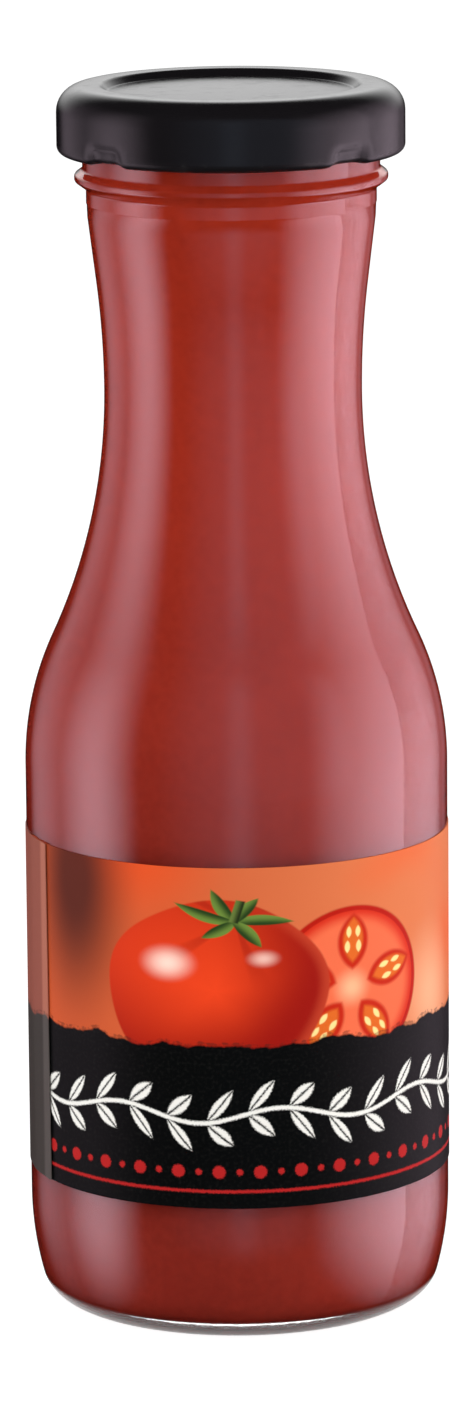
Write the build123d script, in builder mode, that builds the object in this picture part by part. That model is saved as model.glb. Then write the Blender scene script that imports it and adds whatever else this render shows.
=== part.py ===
from build123d import *
import os
from math import acos, asin, atan2, cos, degrees, radians, sin, tan

# A small glass bottle of tomato juice with a long waisted neck, a pressed metal lug cap
# and a paper label wrapped round the body. Millimetres. The axis of the bottle is Z, the
# base stands on z = 0 and the front of the label looks towards -Y.

# Outside of the glass
body_diameter = 55.7
bearing_width = 2.0  # flat ring that the bottle stands on
push_up = 1.0  # rise of the domed underside inside that ring
heel_radius = 4.4  # tight corner at the bottom
insweep_radius = 42.8  # long curve from the heel out to the straight body
insweep_height = 14.3  # height where the body becomes straight
body_top = 72.4  # height where the shoulder begins
shoulder_height = 49.7  # from the top of the body up to the waist of the neck
shoulder_radius = 39.9  # convex curve; the concave neck curve follows from it
waist_diameter = 33.7
flare_height = 22.6  # from the waist up to the collar
flare_knee = 7.1  # height above the waist where waist line and flare line would cross
collar_diameter = 37.8  # low band under the transfer bead
collar_step = 0.15  # how far the band stands out from the flare below it
collar_height = 3.75
bead_radius = 1.05  # transfer bead, the ring that the glass is gripped by
bead_stand = 1.05  # how far the bead stands out past the finish
bead_fillet = 0.35
finish_diameter = 38.7  # neck finish under the cap
finish_height = 11.65  # from the middle of the bead up to the rim
rim_round = 0.7

# Inside of the glass
wall = 3.0
bore_diameter = 33.8
base_thickness = 2.4  # in the middle, above the push-up
floor_drop = 0.8  # the domed floor falls by this much towards the wall
inner_heel_radius = 3.5

# Juice
juice_gap = 0.05  # keeps the faces of juice and glass apart
headspace = 3.4  # from the rim down to the juice

# Cap: one sheet, rolled into a curl at the lower edge, with lugs pressed out of the curl
cap_sheet = 0.4
cap_height = 8.85
cap_room = 2.9  # between finish and skirt, where the lugs turn
cap_corner = 3.4
panel_depth = 0.9  # the middle of the top lies this much below its rim
panel_clearance = 0.5  # between the sunk panel and the bore
panel_slope = 45.0
panel_round = 0.5
curl_radius = 1.1
lug_count = 4
lug_turn = -47.5  # direction of the first lug
lug_width = 6.0
lug_thickness = 0.9
lug_clearance = 0.7  # between the tip of a lug and the glass
dent_radius = 6.0  # hollow that the pressing leaves outside each lug
dent_depth = 0.8
dent_angle = 52.0  # direction of the pressing, down from the horizontal

# Label
label_bottom = 18.7
label_height = 45.35
label_paper = 0.12
label_glue = 0.03
label_lap = 6.0  # one end of the sheet lies this far over the other
label_lap_turn = -153.4  # direction of the upper end's edge, on the left of the front

os.makedirs("parts", exist_ok=True)

body_r = body_diameter / 2
waist_r = waist_diameter / 2
collar_r = collar_diameter / 2
finish_r = finish_diameter / 2
bore_r = bore_diameter / 2
waist_z = body_top + shoulder_height
collar_z = waist_z + flare_height
bead_z = collar_z + collar_height + bead_radius + bead_fillet
rim_z = bead_z + finish_height


def shoulder_and_neck(start, end_r, radius):
    """Two tangent arcs from the upright body to the upright waist of the neck."""
    drop = start.X - end_r
    both = (drop**2 + shoulder_height**2) / (2 * drop)
    turn = degrees(asin(shoulder_height / both))
    shoulder = JernArc(start, (0, 1), radius, turn)
    neck = JernArc(shoulder @ 1, shoulder % 1, both - radius, -turn)
    return neck @ 1


def flare(start, end):
    """An arc that leaves the waist upright and a straight taper up to the collar."""
    angle = atan2(end[0] - start.X, flare_height - flare_knee)
    bend = (
        start.X + flare_knee * sin(angle),
        start.Y + flare_knee * (1 + cos(angle)),
    )
    TangentArc(start, bend, tangent=(0, 1))
    Line(bend, end)


def cavity_line(gap, top):
    """The inside of the glass from the floor's middle up to a height, drawn a gap inside it."""
    inset = wall + gap
    heel_r = inner_heel_radius - gap
    wall_r = body_r - inset
    floor_z = push_up + base_thickness + gap
    floor_edge = (wall_r - heel_r, floor_z - floor_drop)
    TangentArc((0, floor_z), floor_edge, tangent=(1, 0))
    heel = JernArc(floor_edge, (1, 0), heel_r, 90)
    side = Line(heel @ 1, (wall_r, body_top))
    waist = shoulder_and_neck(side @ 1, waist_r - inset, shoulder_radius - inset)
    flare(waist, (bore_r - gap, collar_z))
    Line((bore_r - gap, collar_z), (bore_r - gap, top))
    return Vector(0, floor_z), Vector(bore_r - gap, top)


# Glass: one closed section, outside and inside, turned about the axis
heel_turn = degrees(asin((insweep_height - heel_radius) / (insweep_radius - heel_radius)))
bearing_r = (
    body_r
    - insweep_radius
    + (insweep_radius - heel_radius) * cos(radians(heel_turn))
)

with BuildPart() as bottle:
    with BuildSketch(Plane.XZ):
        with BuildLine():
            ring_in = (bearing_r - bearing_width, 0)
            TangentArc((0, push_up), ring_in, tangent=(1, 0))
            ring = Line(ring_in, (bearing_r, 0))
            heel = JernArc(ring @ 1, (1, 0), heel_radius, 90 - heel_turn)
            insweep = JernArc(heel @ 1, heel % 1, insweep_radius, heel_turn)
            side = Line(insweep @ 1, (body_r, body_top))
            waist = shoulder_and_neck(side @ 1, waist_r, shoulder_radius)
            flare(waist, (collar_r - collar_step, collar_z))
            foot = Line((collar_r - collar_step, collar_z), (collar_r, collar_z + collar_step))
            collar = Line(foot @ 1, (collar_r, bead_z))
            step = Line(collar @ 1, (finish_r, bead_z))
            finish = Line(step @ 1, (finish_r, rim_z))
            floor_middle, mouth = cavity_line(0, rim_z)
            Line(finish @ 1, mouth)
            Line(floor_middle, (0, push_up))
        make_face()
        rim_corners = vertices().group_by(Axis.Y)[-1]
        fillet(rim_corners, rim_round)
        with Locations((finish_r + bead_stand - bead_radius, bead_z)):
            Circle(bead_radius)
        bead_feet = (
            vertices()
            .filter_by_position(Axis.Y, bead_z - bead_radius, bead_z + bead_radius)
            .filter_by_position(Axis.X, min(collar_r, finish_r) - 0.1, finish_r + bead_stand)
        )
        fillet(bead_feet, bead_fillet)
    revolve(axis=Axis.Z)

# Juice: the cavity up to the fill level
with BuildPart() as juice:
    with BuildSketch(Plane.XZ):
        with BuildLine():
            juice_z = rim_z - headspace
            floor_middle, edge = cavity_line(juice_gap, juice_z)
            Line(edge, (0, juice_z))
            Line((0, juice_z), floor_middle)
        make_face()
    revolve(axis=Axis.Z)

# Cap: the sheet's section turned about the axis, then the lugs
cap_r = finish_r + cap_room + cap_sheet
cap_top = rim_z + cap_sheet
cap_bottom = cap_top - cap_height
panel_z = cap_top - panel_depth
slope_run = panel_depth / tan(radians(panel_slope))
mitre = cap_sheet * tan(radians(panel_slope) / 2)
panel_r = bore_r - panel_clearance - cap_sheet
curl_z = cap_bottom + curl_radius
curl_r = cap_r - curl_radius

with BuildPart() as cap:
    with BuildSketch(Plane.XZ):
        with BuildLine():
            top_side = FilletPolyline(
                (0, panel_z),
                (panel_r, panel_z),
                (panel_r + slope_run, cap_top),
                (cap_r, cap_top),
                (cap_r, curl_z),
                radius=[panel_round, panel_round + cap_sheet, cap_corner],
            )
            under_side = FilletPolyline(
                (0, panel_z - cap_sheet),
                (panel_r + mitre, panel_z - cap_sheet),
                (panel_r + mitre + slope_run, cap_top - cap_sheet),
                (cap_r - cap_sheet, cap_top - cap_sheet),
                (cap_r - cap_sheet, curl_z),
                radius=[panel_round + cap_sheet, panel_round, cap_corner - cap_sheet],
            )
            Line(top_side @ 0, under_side @ 0)
            Line(top_side @ 1, under_side @ 1)
        make_face()
        with Locations((curl_r, curl_z)):
            Circle(curl_radius)
    revolve(axis=Axis.Z)
    with BuildSketch(Plane.XY.offset(curl_z - lug_thickness / 2)):
        with PolarLocations(curl_r, lug_count, start_angle=lug_turn):
            Rectangle(2 * cap_room, lug_width)
        Circle(curl_r, mode=Mode.INTERSECT)
        Circle(finish_r + lug_clearance, mode=Mode.SUBTRACT)
    extrude(amount=lug_thickness)
    press = curl_radius + dent_radius - dent_depth
    with Locations((0, 0, curl_z - press * sin(radians(dent_angle)))):
        with PolarLocations(curl_r + press * cos(radians(dent_angle)), lug_count, start_angle=lug_turn):
            Sphere(dent_radius, mode=Mode.SUBTRACT)

# Label: a sheet round the body whose upper end lies on the lower one and leaves it at a tangent
label_in = body_r + label_glue
label_r = label_in + label_paper
lap_r = label_r + label_paper
lap_turn = degrees(label_lap / label_r)
rise_turn = degrees(acos(label_r / lap_r))

with BuildPart() as label:
    with BuildSketch(Plane.XY.offset(label_bottom)):
        Circle(label_r)
        with BuildLine():
            lap = CenterArc((0, 0), lap_r, label_lap_turn - lap_turn, lap_turn)
            rise = PolarLine((0, 0), label_r, label_lap_turn - lap_turn - rise_turn)
            Line(rise @ 1, lap @ 0)
            Line(lap @ 1, (0, 0))
        make_face()
        Circle(label_in, mode=Mode.SUBTRACT)
    extrude(amount=label_height)

bottle.part.label = "bottle"
juice.part.label = "juice"
cap.part.label = "cap"
label.part.label = "label"
export_step(bottle.part, "parts/bottle.step")
export_step(juice.part, "parts/juice.step")
export_step(cap.part, "parts/cap.step")
export_step(label.part, "parts/label.step")

print("juice", round(juice.part.volume / 1000, 1), "ml; glass", round(bottle.part.volume / 1000, 1), "cm3")
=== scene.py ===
# %% [markdown]
# # A small bottle of tomato juice
# The engineer's model is already there: a glass bottle, the juice in it, a lug cap and a label.
# This lesson dresses it for the camera. Each piece is turned or bent afresh with many more faces
# than the engineer needs, so that reflections run smoothly, and gets a finish of its own.

# %% Load the engineer's model
from math import acos, asin, atan2, cos, degrees, hypot, pi, radians, sin, tan

import bpy
from mathutils import Matrix, Vector


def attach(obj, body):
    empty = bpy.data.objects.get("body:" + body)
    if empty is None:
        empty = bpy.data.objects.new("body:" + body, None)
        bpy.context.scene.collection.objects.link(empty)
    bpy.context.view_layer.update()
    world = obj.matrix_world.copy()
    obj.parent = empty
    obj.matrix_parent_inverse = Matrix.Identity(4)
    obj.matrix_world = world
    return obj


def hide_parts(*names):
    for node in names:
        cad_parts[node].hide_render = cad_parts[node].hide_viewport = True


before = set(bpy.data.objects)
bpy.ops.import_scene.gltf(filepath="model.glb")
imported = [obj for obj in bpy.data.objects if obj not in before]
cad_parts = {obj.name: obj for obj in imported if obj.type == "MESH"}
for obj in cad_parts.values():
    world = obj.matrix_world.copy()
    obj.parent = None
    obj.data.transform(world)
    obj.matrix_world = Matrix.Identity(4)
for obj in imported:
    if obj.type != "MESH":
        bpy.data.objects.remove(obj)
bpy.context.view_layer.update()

bpy.ops.object.select_all(action="DESELECT")

# %% [markdown]
# ## Working in millimetres
# Blender counts in metres, and a bottle is drawn in millimetres, so every size below is in
# millimetres and is made small only where a vertex is placed. A turned piece needs nothing but
# the outline of one half. Its points come from two helpers: one walks along an arc, the other
# walks along straight runs and rounds the corners on the way.

# %% Outlines from arcs and rounded corners
MM = 0.001


def arc(centre, radius, start, end, steps):
    """Points along an arc from one angle to another, in degrees; the first point is left out."""
    turns = [radians(start + (end - start) * i / steps) for i in range(1, steps + 1)]
    return [(centre[0] + radius * cos(a), centre[1] + radius * sin(a)) for a in turns]


def rounded(corners, steps=8):
    """A run of straight lines whose corners, given as (r, z, radius), are rounded."""
    points = [corners[0][:2]]
    for before, here, after in zip(corners, corners[1:], corners[2:]):
        spot = Vector(here[:2])
        back = (Vector(before[:2]) - spot).normalized()
        on = (Vector(after[:2]) - spot).normalized()
        half = acos(max(-1.0, min(1.0, back.dot(on)))) / 2
        middle = spot + (back + on).normalized() * here[2] / sin(half)
        first = spot + back * here[2] / tan(half) - middle
        sweep = first.angle_signed(spot + on * here[2] / tan(half) - middle)
        for i in range(steps + 1):
            points.append(tuple(middle + Matrix.Rotation(-sweep * i / steps, 2) @ first))
    return points + [corners[-1][:2]]


print("helpers: arc, rounded")

# %% [markdown]
# ## Turning a piece
# A glassmaker's mould and a lathe both leave a round form, and Blender's Spin does the same: one
# vertex is extruded along the outline, and the line is spun about the upright axis. Spin leaves a
# seam and a pinched pole, so doubles are merged and the normals are set outwards afterwards.

# %% Draw an outline and spin it
TURNS = 192


def draw_outline(name, points):
    """One vertex, extruded from point to point of an outline; stays in edit mode."""
    bpy.ops.object.select_all(action="DESELECT")
    bpy.ops.mesh.primitive_plane_add(size=MM)
    piece = bpy.context.object
    piece.name = piece.data.name = name
    bpy.ops.object.mode_set(mode="EDIT")
    bpy.ops.mesh.merge(type="CENTER")
    bpy.ops.transform.translate(value=(points[0][0] * MM, 0, points[0][1] * MM))
    for (r, z), (next_r, next_z) in zip(points, points[1:]):
        step = ((next_r - r) * MM, 0, (next_z - z) * MM)
        bpy.ops.mesh.extrude_vertices_move(TRANSFORM_OT_translate={"value": step})
    return piece


def turn(name, points, sharp=30):
    """A closed round piece from its outline."""
    piece = draw_outline(name, points)
    bpy.ops.mesh.select_all(action="SELECT")
    bpy.ops.mesh.spin(steps=TURNS, angle=2 * pi, center=(0, 0, 0), axis=(0, 0, 1))
    bpy.ops.mesh.select_all(action="SELECT")
    bpy.ops.mesh.remove_doubles(threshold=0.001 * MM)
    bpy.ops.mesh.normals_make_consistent(inside=False)
    bpy.ops.object.mode_set(mode="OBJECT")
    bpy.ops.object.shade_smooth_by_angle(angle=radians(sharp))
    print(name, len(piece.data.polygons), "faces")
    return piece


print("pieces are turned in", TURNS, "steps")

# %% [markdown]
# ## The glass
# The bottle stands on a narrow ring round a domed underside. A tight heel leads into a long curve
# out to the straight body; above the label two tangent arcs make the shoulder and the slim neck,
# which opens again towards a low collar and the bead that carried the hot bottle. A faint line on
# the collar shows where one ring of the mould ended. The inside is drawn as well: thick glass
# bends light, and the clear heel only looks right with a real floor.

# %% Sizes of the bottle
BODY_R, BODY_TOP = 27.85, 72.4
HEEL_R, INSWEEP_R, INSWEEP_Z = 4.4, 42.8, 14.3
RING_WIDTH, PUSH_UP = 2.0, 1.0
SHOULDER_H, SHOULDER_R = 49.7, 39.9
WAIST_R, WAIST_Z = 16.85, BODY_TOP + SHOULDER_H
FLARE_H, FLARE_KNEE = 22.6, 7.1
COLLAR_R, COLLAR_Z, COLLAR_STEP = 18.9, WAIST_Z + FLARE_H, 0.15
RING_LINE_Z, RING_LINE_H, RING_LINE_STEP, RING_LINE_ROUND = COLLAR_Z + 1.9, 0.15, 0.08, 0.1
BEAD_R, BEAD_Z = 20.4, COLLAR_Z + 5.15
BEAD_FOOT, BEAD_LOW, BEAD_HIGH, BEAD_HEAD = [BEAD_Z + up for up in (-1.4, -0.3, 0.45, 1.2)]
BEAD_HOLLOW, BEAD_ROUND = 0.6, 0.5
FINISH_R, RIM_Z, RIM_ROUND = 19.35, BEAD_Z + 11.65, 0.7
WALL, BORE_R, JOIN_Z = 3.0, 16.9, RIM_Z - 3
FLOOR_Z, FLOOR_DROP, INNER_HEEL_R = 3.4, 0.8, 3.5
print("the rim stands", round(RIM_Z, 2), "mm above the table")


# %% Curves that outside and inside share
def shoulder_and_neck(inset):
    """The S from the straight body to the waist, drawn some way inside the outer face."""
    drop = BODY_R - WAIST_R
    both = (drop**2 + SHOULDER_H**2) / (2 * drop)
    turned = degrees(asin(SHOULDER_H / both))
    convex, hollow = SHOULDER_R - inset, both - SHOULDER_R + inset
    return arc((BODY_R - SHOULDER_R, BODY_TOP), convex, 0, turned, steps=24) + arc(
        (WAIST_R + both - SHOULDER_R, WAIST_Z), hollow, 180 + turned, 180, steps=24
    )


def flare(waist_r, end_r):
    """The neck opening from the waist to the collar: an arc, then a straight taper."""
    lean = atan2(end_r - waist_r, FLARE_H - FLARE_KNEE)
    radius = FLARE_KNEE / tan(lean / 2)
    bend = arc((waist_r + radius, WAIST_Z), radius, 180, 180 - degrees(lean), steps=12)
    return bend + [(end_r, COLLAR_Z)]


def cavity(inset, floor_z, top):
    """The inside of the bottle from the middle of its floor up to a height."""
    heel_r = INNER_HEEL_R + WALL - inset
    edge_r = BODY_R - inset - heel_r
    dome_r = (edge_r**2 + FLOOR_DROP**2) / (2 * FLOOR_DROP)
    spread = degrees(asin(edge_r / dome_r))
    points = [(0, floor_z)] + arc((0, floor_z - dome_r), dome_r, 90, 90 - spread, steps=10)
    points += arc((edge_r, floor_z - FLOOR_DROP + heel_r), heel_r, -90, 0, steps=16)
    points += [(BODY_R - inset, BODY_TOP)] + shoulder_and_neck(inset)
    points += flare(WAIST_R - inset, BORE_R + WALL - inset)
    return points + [(BORE_R + WALL - inset, top)]


print("waist inside:", round(WAIST_R - WALL, 2), "mm")

# %% Turn the bottle
heel_lift = asin((INSWEEP_Z - HEEL_R) / (INSWEEP_R - HEEL_R))
bearing_r = BODY_R - INSWEEP_R + (INSWEEP_R - HEEL_R) * cos(heel_lift)
ring_in = bearing_r - RING_WIDTH
push_r = (ring_in**2 + PUSH_UP**2) / (2 * PUSH_UP)
dome_turn = degrees(asin(ring_in / push_r))
SEAM_STOPS = (16.5, 18.0, 65.0, 66.5)  # heights near the label's edges, where the seams end

outside = [(0, PUSH_UP)]
outside += arc((0, PUSH_UP - push_r), push_r, 90, 90 - dome_turn, steps=12)
outside += [(bearing_r, 0)]
outside += arc((bearing_r, HEEL_R), HEEL_R, -90, -degrees(heel_lift), steps=14)
outside += arc((BODY_R - INSWEEP_R, INSWEEP_Z), INSWEEP_R, -degrees(heel_lift), 0, steps=10)
outside += [(BODY_R, z) for z in (*SEAM_STOPS, BODY_TOP)]
outside += shoulder_and_neck(0) + flare(WAIST_R, COLLAR_R - COLLAR_STEP)
finish_line = rounded([
    (COLLAR_R - RING_LINE_STEP, RING_LINE_Z - RING_LINE_H, 0),
    (COLLAR_R, RING_LINE_Z, RING_LINE_ROUND),
    (COLLAR_R, BEAD_FOOT, BEAD_HOLLOW),
    (BEAD_R, BEAD_LOW, BEAD_ROUND),
    (BEAD_R, BEAD_HIGH, BEAD_ROUND),
    (FINISH_R, BEAD_HEAD, BEAD_ROUND),
    (FINISH_R, RIM_Z, RIM_ROUND),
    (BORE_R, RIM_Z, RIM_ROUND),
    (BORE_R, JOIN_Z, 0),
])
inside = cavity(WALL, FLOOR_Z, JOIN_Z)
bottle = turn("glass_bottle", outside + finish_line + inside[-2::-1])

# %% [markdown]
# A bottle mould opens in two halves and leaves a faint seam down either side of the glass. One
# column of vertices is pulled out by a hair's breadth there; the label covers the middle part. As
# by hand, vertices are picked by their place first and moved by an operator afterwards.


# %% Pick vertices by their place
def aside(x, y, heading):
    """How far a place lies from a heading, as an angle round the axis, either way."""
    return abs((atan2(y, x) - heading + pi) % (2 * pi) - pi)


def pick(piece, wanted):
    """Selects the vertices whose place in millimetres passes a test; stays in edit mode."""
    bpy.ops.object.mode_set(mode="EDIT")
    bpy.ops.mesh.select_mode(type="VERT")
    bpy.ops.mesh.select_all(action="DESELECT")
    bpy.ops.object.mode_set(mode="OBJECT")
    for vertex in piece.data.vertices:
        vertex.select = wanted(*[c / MM for c in vertex.co])
    count = sum(vertex.select for vertex in piece.data.vertices)
    bpy.ops.object.mode_set(mode="EDIT")
    return count


print("helpers: aside, pick")

# %% Raise the mould seams
SEAM_RISE, ON_LINE = 0.06, 0.002
SEAM_TURNS = (-76.875, 103.125)  # headings in degrees, each on a column of vertices
bare = [(r, z) for r, z in outside if not SEAM_STOPS[0] < z < SEAM_STOPS[-1]]
exposed = [(r, z) for r, z in bare if HEEL_R < z < COLLAR_Z]


def on_column(x, y, z, heading, line):
    """True for a vertex of one upright column that lies on a line."""
    r = hypot(x, y)
    beside = r > 0 and aside(x, y, heading) < pi / TURNS
    return beside and any(hypot(r - a, z - b) < ON_LINE for a, b in line)


for heading in [radians(angle) for angle in SEAM_TURNS]:
    count = pick(bottle, lambda x, y, z: on_column(x, y, z, heading, exposed))
    outwards = (SEAM_RISE * cos(heading) * MM, SEAM_RISE * sin(heading) * MM, 0)
    bpy.ops.transform.translate(value=outwards)
    bpy.ops.object.mode_set(mode="OBJECT")
    print("seam:", count, "vertices")

# %% [markdown]
# ## The juice
# Juice touches glass with no air between them. Two faces in the very same place would flicker, so
# the juice is drawn a little larger than the cavity and reaches just into the wall: the light
# then goes from glass straight to juice, as it does in the real bottle.

# %% Turn the juice
JUICE_BITE, HEADSPACE = 0.12, 3.4
JUICE_LEVEL = RIM_Z - HEADSPACE
juice_line = cavity(WALL - JUICE_BITE, FLOOR_Z - JUICE_BITE, JUICE_LEVEL)
juice = turn("tomato_juice", juice_line + [(0, JUICE_LEVEL)])

# %% [markdown]
# ## The cap
# A lug cap is pressed from one sheet of tinplate: a sunk panel, a raised ring that sits on the
# rim of the glass, a rounded shoulder, a plain skirt, and a lower edge rolled into a curl. The
# outline therefore runs down the outside, once round the curl and back up the inside.

# %% Turn the cap
CAP_SHEET, CAP_H, CAP_R, CAP_CORNER = 0.4, 8.85, 22.65, 3.4
CAP_TOP = RIM_Z + CAP_SHEET
PANEL_R, PANEL_STEP, PANEL_SLOPE, PANEL_ROUND = 16.0, 0.9, 45, 0.5
PANEL_Z = CAP_TOP - PANEL_STEP
CURL_R = 1.1
CURL_Z = CAP_TOP - CAP_H + CURL_R
CURL_TOP, SKIRT_FOOT, SKIRT_RINGS = CURL_Z + 0.6, CURL_Z + 2.2, (1.6, 0.8, 0.0)
mitre = CAP_SHEET * tan(radians(PANEL_SLOPE / 2))
meet = degrees(acos((CURL_R - CAP_SHEET) / CURL_R))

top_side = rounded([
    (0, PANEL_Z, 0),
    (PANEL_R, PANEL_Z, PANEL_ROUND),
    (PANEL_R + PANEL_STEP, CAP_TOP, PANEL_ROUND + CAP_SHEET),
    (CAP_R, CAP_TOP, CAP_CORNER),
    (CAP_R, SKIRT_FOOT, 0),
], steps=10)
skirt = [(CAP_R, CURL_Z + up) for up in SKIRT_RINGS]
curl = arc((CAP_R - CURL_R, CURL_Z), CURL_R, 0, meet - 360, steps=26)
under_side = rounded([
    (0, PANEL_Z - CAP_SHEET, 0),
    (PANEL_R + mitre, PANEL_Z - CAP_SHEET, PANEL_ROUND + CAP_SHEET),
    (PANEL_R + mitre + PANEL_STEP, CAP_TOP - CAP_SHEET, PANEL_ROUND),
    (CAP_R - CAP_SHEET, CAP_TOP - CAP_SHEET, CAP_CORNER - CAP_SHEET),
    (CAP_R - CAP_SHEET, SKIRT_FOOT, 0),
], steps=10)
cap = turn("lug_cap", top_side + skirt + curl + under_side[::-1])

# %% [markdown]
# ## The lugs
# Four places of the curl are pressed inwards, and these lugs grip under the glass thread. By hand
# one would pick a short stretch of the curl and pull it inwards with proportional editing on, so
# that the sheet follows softly. The same is done here, once for each lug.

# %% Press the lugs
LUG_COUNT, FIRST_LUG, LUG_HALF = 4, -47.5, radians(4.5)
LUG_PRESS, LUG_LIFT, LUG_SOFT = 0.75, 0.3, 2.2
for i in range(LUG_COUNT):
    heading = radians(FIRST_LUG + 360 / LUG_COUNT * i)
    pick(cap, lambda x, y, z: aside(x, y, heading) < LUG_HALF and z < CURL_TOP)
    push = (-LUG_PRESS * cos(heading) * MM, -LUG_PRESS * sin(heading) * MM, LUG_LIFT * MM)
    bpy.ops.transform.translate(
        value=push,
        use_proportional_edit=True,
        use_proportional_connected=True,
        proportional_edit_falloff="SMOOTH",
        proportional_size=LUG_SOFT * MM,
    )
    bpy.ops.object.mode_set(mode="OBJECT")
print("lowest point of the cap:", round(min(v.co.z for v in cap.data.vertices) / MM, 2), "mm")

# %% [markdown]
# ## The label
# A label starts as a flat sheet of paper, and so does this one: a grid as long as the way round
# the bottle and a little longer, because one end is glued over the other. That end is lifted by
# the thickness of the paper while the sheet is still flat. A Simple Deform modifier then bends the
# sheet into a ring. The grid brings a UV map of the flat sheet, which the print will use later.

# %% A flat sheet with one lifted end
LABEL_R, LABEL_Z, LABEL_H, PAPER = 27.985, 18.7, 45.35, 0.12
LAP, LAP_RISE, LAP_CURL, LAP_SLANT = 6.0, 2.6, 0.16, 0.6
LAP_LIFT, CURL_SOFT, LAST_COLUMN = PAPER + 0.01, 2.0, 0.1
LABEL_L = 2 * pi * LABEL_R + LAP

bpy.ops.object.select_all(action="DESELECT")
bpy.ops.mesh.primitive_grid_add(x_subdivisions=260, y_subdivisions=20, size=1, rotation=(pi / 2, 0, 0))
label = bpy.context.object
label.name = label.data.name = "paper_label"
bpy.ops.object.transform_apply(location=True, rotation=True, scale=True)
bpy.ops.object.mode_set(mode="EDIT")
bpy.ops.transform.resize(value=(LABEL_L * MM, 1, LABEL_H * MM))
for width, lift, softness in ((LAP, LAP_LIFT, LAP_RISE), (LAST_COLUMN, LAP_CURL, CURL_SOFT)):
    pick(label, lambda x, y, z: x > LABEL_L / 2 - width)
    bpy.ops.transform.translate(
        value=(0, -lift * MM, 0),
        use_proportional_edit=True,
        proportional_edit_falloff="SMOOTH",
        proportional_size=softness * MM,
    )
sheet_end = Vector((LABEL_L / 2 * MM, 0, 0))
bpy.ops.transform.rotate(value=radians(LAP_SLANT), orient_axis="Y", center_override=sheet_end)
bpy.ops.object.mode_set(mode="OBJECT")
print("sheet:", round(LABEL_L, 1), "mm long, end lifted by", round(LAP_LIFT + LAP_CURL, 2), "mm")

# %% [markdown]
# The bend leaves the ring's middle beside the bottle and its lap at the back. It is moved home and
# turned until the lapped edge stands on the left of the front. Solidify then thickens it inwards.

# %% Bend the sheet into a ring and bring it home
LAP_TURN = -152.2
bend = label.modifiers.new("bend", "SIMPLE_DEFORM")
bend.deform_method, bend.deform_axis = "BEND", "Z"
bend.angle = label.dimensions.x / (LABEL_R * MM)
bpy.ops.object.modifier_apply(modifier="bend")
home_turn = radians(LAP_TURN + 90) - LABEL_L / LABEL_R / 2
bpy.ops.object.mode_set(mode="EDIT")
bpy.ops.mesh.select_all(action="SELECT")
bpy.ops.transform.translate(value=(0, -LABEL_R * MM, (LABEL_Z + LABEL_H / 2) * MM))
bpy.ops.transform.rotate(value=-home_turn, orient_axis="Z", center_override=(0, 0, 0))
bpy.ops.object.mode_set(mode="OBJECT")
paper = label.modifiers.new("paper", "SOLIDIFY")
paper.thickness, paper.offset = PAPER * MM, -1.0
bpy.ops.object.modifier_apply(modifier="paper")
bpy.ops.object.shade_smooth_by_angle(angle=radians(40))
lapped = max(label.data.vertices, key=lambda v: hypot(v.co.x, v.co.y)).co
lapped_turn, lapped_r = degrees(atan2(lapped.y, lapped.x)), hypot(lapped.x, lapped.y) / MM
print("label:", len(label.data.polygons), "faces, lapped edge at", round(lapped_turn, 1),
      "degrees,", round(lapped_r, 2), "mm from the axis")

# %% [markdown]
# ## Finishes as arithmetic
# A finish is a net of shader nodes, and a long net is easier to read as a formula. This class
# holds one output socket. Adding or multiplying two of them adds the Math nodes that do it, and
# its method `node` adds any other kind.


# %% Sockets that can be calculated with
class Wire:
    """An output socket that takes part in Python expressions."""

    def __init__(self, tree, socket=None):
        self.tree, self.socket = tree, socket

    def node(self, kind, settings=None, inputs=None, output=0):
        """Adds a node: its settings first, then the values or wires of its sockets."""
        made = self.tree.nodes.new("ShaderNode" + kind)
        for key, value in (settings or {}).items():
            setattr(made, key, value)
        for key, value in (inputs or {}).items():
            if isinstance(value, Wire):
                self.tree.links.new(value.socket, made.inputs[key])
            else:
                made.inputs[key].default_value = value
        return Wire(self.tree, made.outputs[output])

    def math(self, operation, *values):
        return self.node("Math", {"operation": operation}, dict(enumerate(values)))

    def __add__(self, other):
        return self.math("ADD", self, other)

    def __sub__(self, other):
        return self.math("SUBTRACT", self, other)

    def __rsub__(self, other):
        return self.math("SUBTRACT", other, self)

    def __mul__(self, other):
        return self.math("MULTIPLY", self, other)

    def __truediv__(self, other):
        return self.math("DIVIDE", self, other)

    def __pow__(self, other):
        return self.math("POWER", self, other)

    def __abs__(self):
        return self.math("ABSOLUTE", self)

    __radd__, __rmul__ = __add__, __mul__


def smooth(value, low, high):
    """0 before low, 1 after high and a soft step between; low may be the larger one."""
    settings = {"interpolation_type": "SMOOTHSTEP"}
    return value.node("MapRange", settings, {"Value": value, "From Min": low, "From Max": high})


def layer(mask, under, over):
    """A colour laid over another where the mask is 1; sockets 6 and 7 take the colours."""
    return mask.node("Mix", {"data_type": "RGBA"}, {0: mask, 6: under, 7: over}, 2)


def cloud(wire, place, scale, detail=2.0):
    """Soft random values round 0.5, for unevenness."""
    return wire.node("TexNoise", None, {"Vector": place, "Scale": scale, "Detail": detail})


def paint(red, green, blue):
    """A screen colour, 0 to 255, as the light it stands for."""
    shares = [c / 255 for c in (red, green, blue)]
    return tuple(c / 12.92 if c <= 0.04045 else ((c + 0.055) / 1.055) ** 2.4 for c in shares) + (1.0,)


def new_finish(name):
    """An empty Principled material and a wire to start its expressions from."""
    material = bpy.data.materials.new(name)
    material.use_nodes = True
    return material, Wire(material.node_tree)


def wear(piece, material, sockets):
    """Sets or links the shader's sockets and puts the material on a piece."""
    shader = material.node_tree.nodes["Principled BSDF"]
    for key, value in sockets.items():
        if isinstance(value, Wire):
            material.node_tree.links.new(value.socket, shader.inputs[key])
        else:
            shader.inputs[key].default_value = value
    piece.data.materials.clear()
    piece.data.materials.append(material)
    print(piece.name, "wears", material.name, "with", len(material.node_tree.nodes), "nodes")


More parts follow.
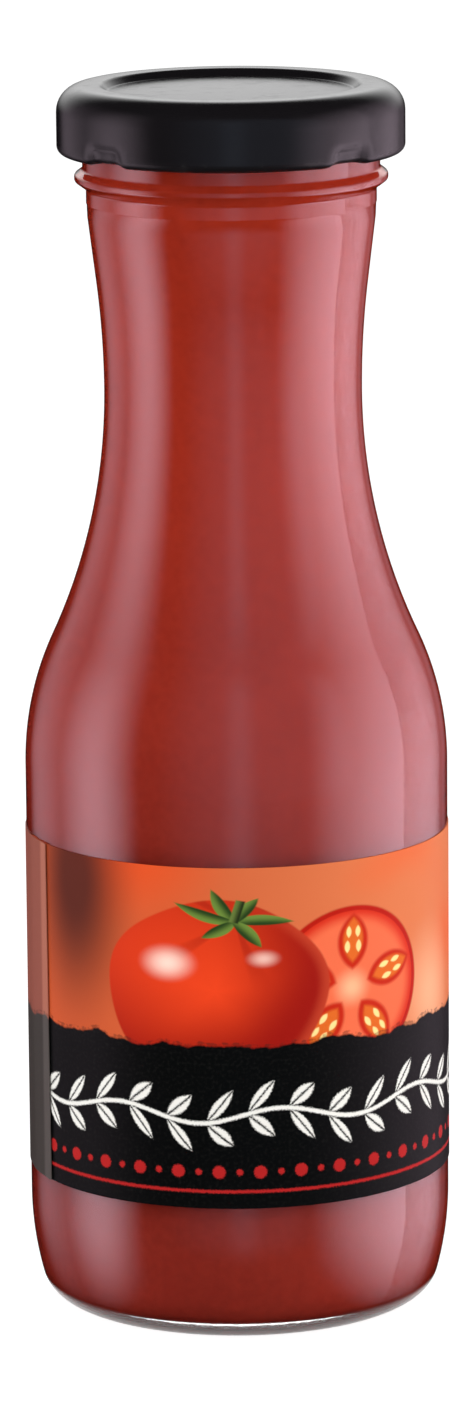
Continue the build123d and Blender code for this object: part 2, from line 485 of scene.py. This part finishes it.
print("finish helpers are ready")

# %% [markdown]
# ## Clear glass
# Bottle glass is clear with a breath of green, and its face is never quite true: it cooled in a
# mould. A very faint, wide ripple in the normal makes reflections waver the way they do on a real
# bottle. The ring that it stands on is stippled, so that the hot glass could slide, and looks
# frosted. Everything else is the shader's own glass: full transmission and an index of 1.52.

# %% Glass finish
CLEAR_Z, FROSTED_Z = 3.4, 1.2
glass, g = new_finish("clear glass")
glass_place = g.node("TexCoord", output="Object")
glass_z = g.node("SeparateXYZ", None, {0: glass_place}, 2)
ripple = cloud(g, glass_place, scale=55.0, detail=1.0)
foot = smooth(glass_z, CLEAR_Z * MM, FROSTED_Z * MM)
stipple = cloud(g, glass_place, scale=1300.0, detail=1.0)
uneven = ripple + foot * stipple * 0.5
ripple_bump = g.node("Bump", None, {"Strength": 0.12, "Distance": 0.0006, "Height": uneven})
wear(bottle, glass, {
    "Base Color": (0.985, 0.995, 0.99, 1.0),
    "Roughness": foot * 0.3,
    "IOR": 1.52,
    "Transmission Weight": 1.0,
    "Normal": ripple_bump,
})

# %% [markdown]
# ## Tomato juice
# Juice with pulp is opaque: light goes in a little way and comes back brick red. It is brown
# rather than fire-engine red. Two noises break the flat colour, a wide one for the way the pulp
# settles and a fine one for the pulp itself. Up in the neck it is painted brighter and warmer than
# down in the body: that is painted light, not a change in the juice. Glass lies on it without a
# gap, so it has no shine of its own.

# %% Juice finish
COOLER_Z, WARMER_Z = 50.0, 140.0
pulp, j = new_finish("tomato pulp")
juice_place = j.node("TexCoord", output="Object")
juice_z = j.node("SeparateXYZ", None, {0: juice_place}, 2)
settled = cloud(j, juice_place, scale=45.0)
fibre = cloud(j, juice_place, scale=900.0, detail=3.0)
depth = smooth(settled * 0.6 + fibre * 0.4, 0.25, 0.75)
# Painted light: towards the neck the juice is painted brighter and warmer than in the body.
up = smooth(juice_z, COOLER_Z * MM, WARMER_Z * MM)
low_juice = layer(depth, paint(135, 41, 31), paint(150, 49, 37))
painted_lit_neck_juice = layer(depth, paint(149, 42, 26), paint(164, 50, 31))
wear(juice, pulp, {
    "Base Color": layer(up, low_juice, painted_lit_neck_juice),
    "Roughness": 0.6,
    "Specular IOR Level": 0.0,
})

# %% [markdown]
# ## Black lacquer
# The cap is roller-coated in black before it is pressed. The lacquer is glossy with a faint
# orange-peel texture, and it is thinner and duller where the sheet was rolled into the curl.

# %% Cap finish
DULL_Z = CURL_Z - 0.8
lacquer, c = new_finish("black lacquer")
cap_place = c.node("TexCoord", output="Object")
cap_z = c.node("SeparateXYZ", None, {0: cap_place}, 2)
peel = cloud(c, cap_place, scale=1600.0)
rolled = smooth(cap_z, CURL_TOP * MM, DULL_Z * MM)
scuffs = smooth(cloud(c, cap_place, scale=420.0, detail=4.0), 0.5, 0.75)
peel_bump = c.node("Bump", None, {"Strength": 0.03, "Distance": 0.0001, "Height": peel})
wear(cap, lacquer, {
    "Base Color": layer(rolled * scuffs, paint(18, 16, 18), paint(46, 44, 44)),
    "Roughness": 0.19 + rolled * 0.14 + scuffs * 0.05,
    "Specular IOR Level": 0.18,
    "Normal": peel_bump,
})

# %% [markdown]
# ## The print on the label
# The label is printed: a warm orange field above, a black field with a ragged edge below. All of
# it is arithmetic on the sheet's UV map, turned into millimetres: `s` runs round the bottle with 0
# at the front, `t` runs up from the lower edge. A shape is a distance that is below zero inside.
# The last stretch of the sheet, which laps over the first, is a plain margin in duller, paler
# tones: partly its own print, partly painted light from the left. A paler hem along its end is a
# painted highlight where the lifted edge of the paper catches the light.


# %% Shapes for the print
def reach(x, y):
    """Distance from the middle of a shape."""
    return (x * x + y * y) ** 0.5


def swung(x, y, angle):
    """The same place in axes turned by an angle in degrees."""
    along, aslant = cos(radians(angle)), sin(radians(angle))
    return x * along + y * aslant, y * along - x * aslant


def leaf(x, y, half_length, half_width):
    """Distance to a pointed leaf that lies along x."""
    radius = (half_length**2 + half_width**2) / (2 * half_width)
    return reach(x, abs(y) + (radius - half_width)) - radius


def ink(distance, soft=0.12):
    """1 inside a shape, 0 outside, with a soft edge."""
    return smooth(distance, soft, -soft)


def glow(x, y, width, height):
    """A soft round spot that fades out."""
    return smooth(reach(x / width, y / height), 1.0, 0.0)


label_print, p = new_finish("printed label")
print_place = p.node("TexCoord", output="UV")
FRONT = LAP - LABEL_R * radians(LAP_TURN + 90)
s = p.node("SeparateXYZ", None, {0: print_place}, 0) * LABEL_L - FRONT
t = p.node("SeparateXYZ", None, {0: print_place}, 1) * LABEL_H
sheet = p.node("CombineXYZ", None, {0: s, 1: t})
print("the front lies", round(FRONT, 1), "mm from the left end of the sheet")

# %% [markdown]
# ### The orange field
# It looks like a picture out of focus: deeper orange on the left, paler towards the right, one
# dim brown smear and a few wide blotches. A pale patch on the right is a painted highlight.

# %% Orange field
MARGIN_S, MARGIN_FADE = 120.0, 6.0
HEM_S, HEM_FADE = LABEL_L - FRONT - 2.4, 0.8
blotch = cloud(p, sheet, scale=0.05, detail=1.0)
warm = layer(smooth(s, -30.0, 34.0), paint(196, 84, 46), paint(214, 118, 74))
warm = layer(smooth(s, 42.0, 66.0), warm, paint(214, 98, 50))
warm = layer(smooth(blotch, 0.45, 0.75) * 0.6, warm, paint(230, 84, 32))
warm = layer(glow(s + 13.0, t - 47.0, width=15.0, height=13.0) * 0.7, warm, paint(226, 74, 26))
# Painted highlight: a pale patch on the right side of the orange field.
warm = layer(glow(s - 31.0, t - 25.0, width=9.0, height=12.0) * 0.6, warm, paint(250, 190, 150))
smear = smooth(reach((s + 24.0) / 12.0, (t - 42.0) / 24.0), 1.0, 0.15)
field = layer(smear * 0.94, warm, paint(70, 31, 25))
# The margin: partly its own print, partly painted light from the left.
margin_print_and_light = smooth(s, MARGIN_S, MARGIN_S + MARGIN_FADE)
field = layer(margin_print_and_light, field, paint(140, 78, 65))
# Painted highlight: the hem is paler where the lifted end of the paper catches the light.
painted_hem_light = smooth(s, HEM_S, HEM_S + HEM_FADE)
field = layer(painted_hem_light, field, paint(168, 102, 84))
print("margin from", MARGIN_S, "mm, hem from", round(HEM_S, 1), "mm")

# %% [markdown]
# ### Two tomatoes
# One is cut in half and shows its chambers, the other is whole and has its green crown. A whole
# tomato is shaded as a ball lit from the upper left. In the half, one chamber is drawn and the
# angle round the middle is folded so that it repeats five times.


# %% A whole tomato
LOBES = 5.0


def whole_tomato(under, middle_s, middle_t, size):
    """Lays a whole tomato over a field of colour; its size is half its width."""
    x, y = (s - middle_s) / size, (t - middle_t) / (0.8 * size)
    around = p.math("ARCTAN2", y, x)
    bulges = p.math("COSINE", around * LOBES + 2.2) * 0.018
    out = reach(x, y) + bulges
    lit = smooth(out + (x - y) * 0.42, 1.25, -0.35)
    skin = layer(lit, paint(150, 22, 14), paint(238, 70, 30))
    skin = layer(smooth(out, 0.86, 1.0) * smooth(x, 0.1, 0.9) * 0.35, skin, paint(226, 92, 58))
    crown_x, crown_y = x - 0.17, y - 0.78
    rays = p.math("COSINE", p.math("ARCTAN2", crown_y, crown_x) * LOBES)
    crease = smooth(rays, 0.72, 1.0) * smooth(reach(crown_x, crown_y), 0.95, 0.2)
    skin = layer(crease * 0.4, skin, paint(140, 18, 12))
    shine = glow(x + 0.42, y - 0.3, 0.3, 0.24) + glow(x - 0.42, y - 0.36, 0.18, 0.12) * 0.7
    skin = layer(shine * 0.85, skin, paint(255, 226, 210))
    return layer(ink((out - 1.0) * size, 0.2), under, skin)


# %% Its green crown
BLADES = ((12, 7.6), (62, 5.2), (128, 6.4), (171, 8.2), (222, 5.0), (318, 5.6))


def crown(under, middle_s, middle_t):
    """Lays blades, each with a heading and a length, and a stalk over a field of colour."""
    x, y = s - middle_s, (t - middle_t) / 0.75
    green = under
    for heading, length in BLADES:
        blade_x, blade_y = swung(x, y, heading)
        bowed = blade_y + blade_x * blade_x * 0.03
        blade = leaf(blade_x - length * 0.46, bowed, length * 0.54, 0.95)
        lit = smooth(bowed, -0.7, 0.7)
        green = layer(ink(blade, 0.15), green, layer(lit, paint(38, 62, 26), paint(104, 132, 56)))
    stalk_x, stalk_y = swung(x - 0.4, y - 1.9, 76)
    stalk = p.math("MAXIMUM", abs(stalk_x) - 2.0, abs(stalk_y) - 0.62)
    bark = layer(smooth(stalk_y, 0.5, -0.5), paint(96, 116, 54), paint(34, 46, 22))
    return layer(ink(stalk, 0.15), green, bark)


# %% A halved tomato
CHAMBERS = 5


def half_tomato(under, middle_s, middle_t, size):
    """Lays a halved tomato over a field of colour; its size is half its width."""
    x, y = (s - middle_s) / size, (t - middle_t) / (0.94 * size)
    out = reach(x, y)
    around = p.math("ARCTAN2", y, x) + 0.35
    share = 2 * pi / CHAMBERS
    folded = p.math("FLOORED_MODULO", around, share) - share / 2
    along = out * p.math("COSINE", folded)
    across = out * p.math("SINE", folded)
    cut = layer(smooth(out, 0.75, 0.95), paint(232, 106, 70), paint(206, 44, 24))
    cut = layer(smooth(out, 0.3, 0.0), cut, paint(244, 176, 134))
    chamber = leaf(along - 0.56, across, 0.34, 0.2)
    cut = layer(ink(chamber, 0.03), cut, paint(190, 38, 18))
    jelly = leaf(along - 0.58, across, 0.27, 0.13)
    cut = layer(ink(jelly, 0.03) * 0.8, cut, paint(222, 110, 38))
    seeds = leaf(along - 0.5, abs(across) - 0.075, 0.075, 0.034)
    more_seeds = leaf(along - 0.68, abs(across) - 0.06, 0.07, 0.032)
    cut = layer(ink(p.math("MINIMUM", seeds, more_seeds), 0.012), cut, paint(246, 214, 140))
    skinned = layer(smooth(out, 0.93, 0.95), cut, paint(176, 26, 14))
    return layer(ink((out - 1.0) * size, 0.2), under, skinned)


field = half_tomato(field, middle_s=15.5, middle_t=28.5, size=11.5)
field = whole_tomato(field, middle_s=-3.0, middle_t=29.0, size=15.0)
field = crown(field, middle_s=-0.5, middle_t=38.2)
print("tomatoes:", len(BLADES), "blades on the whole one,", CHAMBERS, "chambers in the half")

# %% [markdown]
# ### The black field
# Its upper edge wavers like torn paper: a slow noise bends it and a quick one frays it. On the
# black lies a chalky frieze: pairs of leaves on a swaying stem, and a border of red berries under
# it. One pair is drawn and repeated by a modulo. Chalk skips over the ground, so a fine noise
# takes bites out of it.

# %% Black field
EDGE_T, TORN_DEPTH, FRAYED_DEPTH = 21.8, 4.5, 0.55
torn = cloud(p, p.node("CombineXYZ", None, {0: s}), scale=0.12)
frayed = cloud(p, sheet, scale=1.3, detail=3.0)
edge = t - EDGE_T - (torn - 0.5) * TORN_DEPTH - (frayed - 0.5) * FRAYED_DEPTH
dust = cloud(p, sheet, scale=2.2, detail=4.0)
slate = layer(smooth(dust, 0.45, 0.8), paint(7, 8, 8), paint(20, 20, 19))
# Margin and hem on the black: greyer partly by print, partly by painted light and a painted highlight.
slate = layer(margin_print_and_light, slate, paint(58, 54, 50))
slate = layer(painted_hem_light, slate, paint(80, 74, 71))
field = layer(smooth(edge, 0.22, -0.22), field, slate)
fringe = smooth(abs(edge - 0.25), 0.28, 0.05) * smooth(frayed, 0.4, 0.6) * 0.5
field = layer(fringe, field, paint(60, 30, 24))
grain = (cloud(p, sheet, scale=4.5, detail=3.0) - 0.5) * 0.5
print("black field: up to about", EDGE_T, "mm")

# %% Leaf frieze
FRIEZE_T, LEAF_STEP, LEAF_UP, LEAF_LEAN = 12.4, 5.4, 2.0, 46
HALF_LENGTH, HALF_WIDTH, VEIN_HALF, STEM_HALF = 2.35, 0.85, 0.13, 0.28
FRIEZE_END = 21 * LEAF_STEP - 0.6
COVER, CHALK_SOFT = 0.94, 0.14
CHALK, BERRY = paint(238, 236, 230), paint(178, 34, 34)
printed = smooth(s, FRIEZE_END + 0.1, FRIEZE_END - 0.1)
sway = p.math("SINE", s * (pi / LEAF_STEP / 2))
from_stem = t - FRIEZE_T - sway
in_step = p.math("FLOORED_MODULO", s, LEAF_STEP) - LEAF_STEP / 2
leaf_x, leaf_y = swung(in_step - 0.2, abs(from_stem) - LEAF_UP, LEAF_LEAN)
blade = leaf(leaf_x, leaf_y, HALF_LENGTH, HALF_WIDTH)
vein = abs(leaf_y) - VEIN_HALF
blade = p.math("MAXIMUM", blade, 0 - vein)
stem = abs(from_stem) - STEM_HALF
chalk = ink(p.math("MINIMUM", stem, blade) + grain, CHALK_SOFT)
field = layer(printed * chalk * COVER, field, CHALK)
print("frieze: a pair of leaves every", LEAF_STEP, "mm")

# %% Berries and a fine line
BERRY_T, BERRY_R, SMALL_BERRY_R = 4.9, 0.85, 0.42
LINE_T, LINE_HALF = 2.3, 0.2
berry = reach(in_step, t - BERRY_T) - BERRY_R
between = p.math("FLOORED_MODULO", s + LEAF_STEP / 2, LEAF_STEP) - LEAF_STEP / 2
small_berry = reach(between, t - BERRY_T) - SMALL_BERRY_R
line = abs(t - LINE_T) - LINE_HALF
border = p.math("MINIMUM", p.math("MINIMUM", berry, small_berry), line)
field = layer(printed * ink(border + grain, CHALK_SOFT) * COVER, field, BERRY)
print("berries at", BERRY_T, "mm, line at", LINE_T, "mm")

# %% Label finish
fleck = cloud(p, sheet, scale=3.0, detail=3.0)
paper_bump = p.node("Bump", None, {"Strength": 0.05, "Distance": 0.00005, "Height": fleck})
wear(label, label_print, {
    "Base Color": field,
    "Roughness": 0.36 + fleck * 0.1,
    "Specular IOR Level": 0.03,
    "Normal": paper_bump,
})

# %% [markdown]
# ## Everything belongs to one body
# The bottle moves as one. Each new piece rides on that body and stands in for the engineer's
# solid, which is hidden.

# %% Ride and replace
for piece, node, slot in (
    (bottle, "bottle", "clear_glass"),
    (juice, "juice", "tomato_juice"),
    (cap, "cap", "black_lacquer"),
    (label, "label", "label_paper"),
):
    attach(piece, "root")
    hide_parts(node)
    print(piece.name, "stands for", node)

# %% [markdown]
# ## Table and light
# A bottle in a catalogue stands on white. The floor glows a little for the camera, so that it
# stays white and still shows the shadow under the glass. It is not mirrored: shiny pieces get
# their reflections from cards, which are placed where a photographer would hold them.

# %% Floor
BLACK, PALE, WHITE = (0, 0, 0, 1), (0.8, 0.8, 0.8, 1), (1, 1, 1, 1)
FLOOR_GLOW, GLOW_SHARE = 1.4, 0.65


def cover(piece, material, shader):
    """Puts a material on a piece of the stage, with this shader instead of the Principled one."""
    outlet = material.node_tree.nodes["Material Output"].inputs["Surface"]
    material.node_tree.links.new(shader.socket, outlet)
    piece.data.materials.append(material)


bpy.ops.object.select_all(action="DESELECT")
bpy.ops.mesh.primitive_plane_add(size=6)
floor = bpy.context.object
floor.name = "floor"
floor_paint, f = new_finish("floor white")
seen = f.node("LightPath", output="Is Camera Ray") * GLOW_SHARE
matt = f.node("BsdfDiffuse", None, {"Color": PALE})
white = f.node("Emission", None, {"Color": WHITE, "Strength": FLOOR_GLOW})
cover(floor, floor_paint, f.node("MixShader", None, {0: seen, 1: matt, 2: white}))
floor.visible_glossy = False
print("floor glows with a share of", GLOW_SHARE)

# %% [markdown]
# Cards draw the highlights: a slim one on the left and a wide one on the right, each with a weaker
# one beside it, a faint strip and a wide faint card in front, one high up at the back that the top
# of the cap mirrors, and a small round one under the bottle for the heel, which mirrors the white
# table. They fade towards their edges like cloth in front of a lamp. Only mirrored rays and rays
# that come through the glass see them.

# %% Light cards
PINKISH, COOL = (1.1, 0.88, 1.04, 1), (0.75, 0.92, 1.2, 1)
SIDE, FACING, LYING = (90, 90), (90, 0), (0, 0)
SOON = (0.28, 0.35)


def light_card(name, place, turned, size, strength, level=0.0, fades=SOON, tint=PINKISH):
    """A glowing card, tipped up and then turned by angles in degrees, that fades to its edges."""
    bpy.ops.object.select_all(action="DESELECT")
    tipped, swung_round = [radians(angle) for angle in turned]
    bpy.ops.mesh.primitive_plane_add(size=1, location=place, rotation=(tipped, 0, swung_round))
    card = bpy.context.object
    card.name = name
    card.scale = (size[0], size[1], 1)
    card_paint, k = new_finish(name)
    card_place = k.node("TexCoord", output="UV")
    u = k.node("SeparateXYZ", None, {0: card_place}, 0)
    v = k.node("SeparateXYZ", None, {0: card_place}, 1)
    if turned == LYING:
        fade = smooth(reach(u - 0.5, v - 0.5), 0.5, 0.44)
    else:
        fade = smooth(abs(u - 0.5), 0.5, level / 2)
        fade = fade * smooth(v, 0.0, fades[0]) * smooth(v, 1.0, fades[1])
    light = k.node("Emission", None, {"Color": layer(fade, BLACK, tint), "Strength": strength})
    sheer = k.node("AddShader", None, {0: light, 1: k.node("BsdfTransparent")})
    cover(card, card_paint, sheer)
    card.visible_camera = card.visible_diffuse = card.visible_shadow = False
    print(name, "stands at", [round(length, 2) for length in place])


light_card("left_card", (-0.30, -0.065, 0.125), SIDE, (0.35, 0.75), strength=3.2)
light_card("left_fill", (-0.32, 0.2, 0.125), SIDE, (0.8, 0.75), strength=0.8)
light_card("right_card", (0.30, 0.03, 0.125), SIDE, (0.9, 0.75), strength=4.4)
light_card("right_fill", (0.30, 0.55, 0.125), SIDE, (1.0, 0.75), strength=0.25)
light_card("front_strip", (0.03, -0.9, 0.2), FACING, (0.4, 1.3), 0.45, 0.0, (0.28, 0.75), COOL)
light_card("front_card", (0.7, -0.95, 0.4), FACING, (3.4, 1.7), 0.45, 0.4, (0.22, 0.78), COOL)
light_card("back_card", (0, 0.7, 0.5), FACING, (1.8, 0.8), 1.85, 0.0, (0.3, 0.35), WHITE)
light_card("foot_card", (0, 0, -0.001), LYING, (0.058, 0.058), strength=1.2, tint=WHITE)

# %% [markdown]
# Lamps light what is matt: the paper and the juice. They are large and soft, one in front and
# one on each side, and they are not mirrored, because the cards already are.

# %% Soft lamps
MIDDLE = Vector((0, 0, 0.08))


def soft_lamp(name, place, width, height, watts):
    """A large area lamp that looks at the middle of the bottle."""
    toward = (MIDDLE - Vector(place)).to_track_quat("-Z", "Y").to_euler()
    bpy.ops.object.light_add(type="AREA", location=place, rotation=toward)
    lamp = bpy.context.object
    lamp.name = name
    lamp.data.shape, lamp.data.size, lamp.data.size_y = "RECTANGLE", width, height
    lamp.data.energy = watts
    lamp.visible_camera = lamp.visible_glossy = False
    print(name, watts, "W")


soft_lamp("front_lamp", (-0.25, -0.9, 0.9), width=0.8, height=0.8, watts=7.0)
soft_lamp("left_lamp", (-0.45, -0.1, 0.12), width=0.35, height=0.7, watts=1.2)
soft_lamp("right_lamp", (0.45, -0.1, 0.12), width=0.5, height=0.7, watts=2.3)

# %% [markdown]
# The world gives an even, plain light, and is white where the camera or a ray through the glass
# looks past the bottle. Mirrored rays do not see it, for the same reason as the floor.

# %% World
world = bpy.data.worlds.new("studio")
bpy.context.scene.world = world
world.use_nodes = True
w = Wire(world.node_tree)
AMBIENT, THROUGH = 0.55, 1.08
looked_at = w.node("LightPath", output="Is Camera Ray")
through = w.node("LightPath", output="Is Transmission Ray")
plain = layer(through, (AMBIENT, AMBIENT, AMBIENT, 1), (THROUGH, THROUGH, THROUGH, 1))
background = world.node_tree.nodes["Background"]
world.node_tree.links.new(layer(looked_at, plain, WHITE).socket, background.inputs["Color"])
background.inputs["Strength"].default_value = 1.0
world.cycles_visibility.glossy = False
print("world: ambient", AMBIENT)

# %% [markdown]
# ## The camera
# The picture was taken from a little above with a long lens, and the camera was tipped by half a
# degree, so the bottle leans a touch to the left.

# %% Camera
PICTURE_W, PICTURE_H = 475, 1401
AIM = Vector((0, 0, 0.08025))
DISTANCE, ELEVATION, ROLL = 0.93575, 11.83, -0.503
LENS, SENSOR, SHIFT_PIXELS = 182.36, 36.0, 1.68
look = Matrix.Rotation(radians(90 - ELEVATION), 4, "X") @ Matrix.Rotation(radians(ROLL), 4, "Z")
stand = AIM + Vector((0, -cos(radians(ELEVATION)), sin(radians(ELEVATION)))) * DISTANCE
bpy.ops.object.camera_add(location=stand, rotation=look.to_euler())
camera = bpy.context.object
camera.data.lens, camera.data.sensor_width = LENS, SENSOR
camera.data.shift_x = SHIFT_PIXELS / PICTURE_H
bpy.context.scene.camera = camera
bpy.context.scene.view_settings.view_transform = "Standard"
print("camera", [round(v, 3) for v in camera.location], "picture", PICTURE_W, "by", PICTURE_H)
